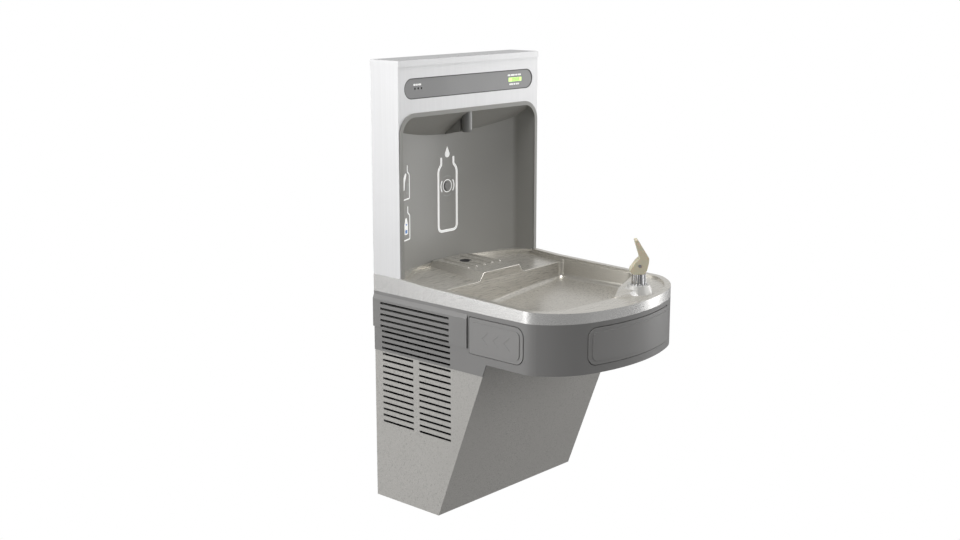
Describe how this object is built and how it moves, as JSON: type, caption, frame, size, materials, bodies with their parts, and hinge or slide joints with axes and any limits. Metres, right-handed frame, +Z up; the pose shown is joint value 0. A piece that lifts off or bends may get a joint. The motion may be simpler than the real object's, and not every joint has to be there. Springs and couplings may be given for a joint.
{
  "type": "drinking fountain",
  "caption": "Wall-mounted refrigerated drinking fountain: rounded steel basin with bubbler and push bars, and a tower behind with a bottle-filling alcove.",
  "frame": {"origin": "on the wall plane, on the centre line, at the bottom of the cabinet", "axes": "+X to the right seen from the front, +Y back into the wall, +Z up"},
  "size_m": [0.475, 0.5676, 1.002],
  "materials": {
    "tower_steel": "satin, fine vertical grain",
    "basin_steel": "satin",
    "chassis_zinc": "galvanised",
    "cabinet_granite": "fine speckled vinyl-coated sheet",
    "apron_plastic": "moulded, fine texture",
    "bar_plastic": "moulded, fine texture",
    "alcove_plastic": "moulded, smooth satin",
    "display_lens": "satin overlay",
    "lcd": "back-lit",
    "led": "clear",
    "circuit_board": "solder resist",
    "black_plastic": "moulded",
    "chrome": "polished",
    "guard_rubber": "soft matt elastomer",
    "black_rubber": "matt",
    "compressor_paint": "gloss black",
    "nozzle_metal": "satin",
    "copper": "drawn copper tube",
    "brass": "machined",
    "fin_aluminium": "mill",
    "foam": "expanded polystyrene",
    "tank_steel": "mill",
    "white_plastic": "moulded",
    "tube_plastic": "drawn polyethylene",
    "spring_steel": "drawn wire"
  },
  "bodies": {
    "body": {"lower_panel": "cabinet_granite", "base_pan": "chassis_zinc", "back_frame": "chassis_zinc", "wall_hanger": "chassis_zinc", "shelf": "chassis_zinc", "apron": "apron_plastic", "bar_carriers": "chassis_zinc", "bar_switch_front": "black_plastic", "bar_switch_left": "black_plastic", "bar_switch_right": "black_plastic", "bar_springs_front": "spring_steel", "bar_springs_left": "spring_steel", "bar_springs_right": "spring_steel", "basin": "basin_steel", "platform_strainer": "black_plastic", "bowl_strainer": "chrome", "bubbler_base": "chrome", "bubbler_nut": "brass", "bubbler_guard": "guard_rubber", "bubbler_pin": "chrome", "tower_shell": "tower_steel", "tower_back": "chassis_zinc", "tower_cap": "tower_steel", "alcove_liner": "alcove_plastic", "bottle_sensor": "black_plastic", "nozzle_fairing": "black_plastic", "filler_nozzle": "nozzle_metal", "filler_valve": "white_plastic", "display_panel": "display_lens", "lcd_module": "lcd", "status_leds": "led", "control_board": "circuit_board", "compressor": "compressor_paint", "compressor_feet": "black_rubber", "condenser": "fin_aluminium", "fan_shroud": "chassis_zinc", "fan_bracket": "chassis_zinc", "fan_motor": "black_plastic", "chiller_jacket": "foam", "chiller_tank": "tank_steel", "chiller_lid": "foam", "refrigerant_lines": "copper", "electrical_box": "chassis_zinc", "cord_grommet": "black_rubber", "thermostat": "black_plastic", "filter_head": "white_plastic", "inlet_fitting": "brass", "waste_pipes": "chrome", "regulator": "brass", "water_lines": "tube_plastic"},
    "bar_front": {"push_bar_front": "bar_plastic"},
    "bar_left": {"push_bar_left": "bar_plastic"},
    "bar_right": {"push_bar_right": "bar_plastic"},
    "plunger_front": {"switch_plunger_front": "white_plastic"},
    "plunger_left": {"switch_plunger_left": "white_plastic"},
    "plunger_right": {"switch_plunger_right": "white_plastic"},
    "fan": {"fan_blade": "fin_aluminium"},
    "cartridge": {"filter_cartridge": "white_plastic"},
    "dial": {"thermostat_dial": "white_plastic"}
  },
  "joints": [
    {"name": "bar_front_push", "type": "slide", "parent": "body", "child": "bar_front", "axis": [0, 1, 0], "range_m": [0, 0.004], "stiffness_N_per_m": 1500, "springref_m": -0.002, "deforming": ["bar_springs_front"]},
    {"name": "bar_left_push", "type": "slide", "parent": "body", "child": "bar_left", "axis": [1, 0, 0], "range_m": [0, 0.004], "stiffness_N_per_m": 1500, "springref_m": -0.002, "deforming": ["bar_springs_left"]},
    {"name": "bar_right_push", "type": "slide", "parent": "body", "child": "bar_right", "axis": [-1, 0, 0], "range_m": [0, 0.004], "stiffness_N_per_m": 1500, "springref_m": -0.002, "deforming": ["bar_springs_right"]},
    {"name": "plunger_front_press", "type": "slide", "parent": "body", "child": "plunger_front", "axis": [0, 1, 0], "range_m": [0, 0.004]},
    {"name": "plunger_left_press", "type": "slide", "parent": "body", "child": "plunger_left", "axis": [1, 0, 0], "range_m": [0, 0.004]},
    {"name": "plunger_right_press", "type": "slide", "parent": "body", "child": "plunger_right", "axis": [-1, 0, 0], "range_m": [0, 0.004]},
    {"name": "fan_spin", "type": "hinge", "parent": "body", "child": "fan", "pos_m": [0.138, -0.1075, 0.095], "axis": [1, 0, 0], "continuous": true},
    {"name": "cartridge_twist", "type": "hinge", "parent": "body", "child": "cartridge", "pos_m": [0.13, -0.09, 0.3], "axis": [0, 0, 1], "range_deg": [0, 90]},
    {"name": "dial_turn", "type": "hinge", "parent": "body", "child": "dial", "pos_m": [-0.012, -0.06, 0.225], "axis": [0, -1, 0], "range_deg": [-135, 135]}
  ],
  "couplings": [
    {"joint": "plunger_front_press", "follows": "bar_front_push", "ratio": 1},
    {"joint": "plunger_left_press", "follows": "bar_left_push", "ratio": 1},
    {"joint": "plunger_right_press", "follows": "bar_right_push", "ratio": 1}
  ]
}
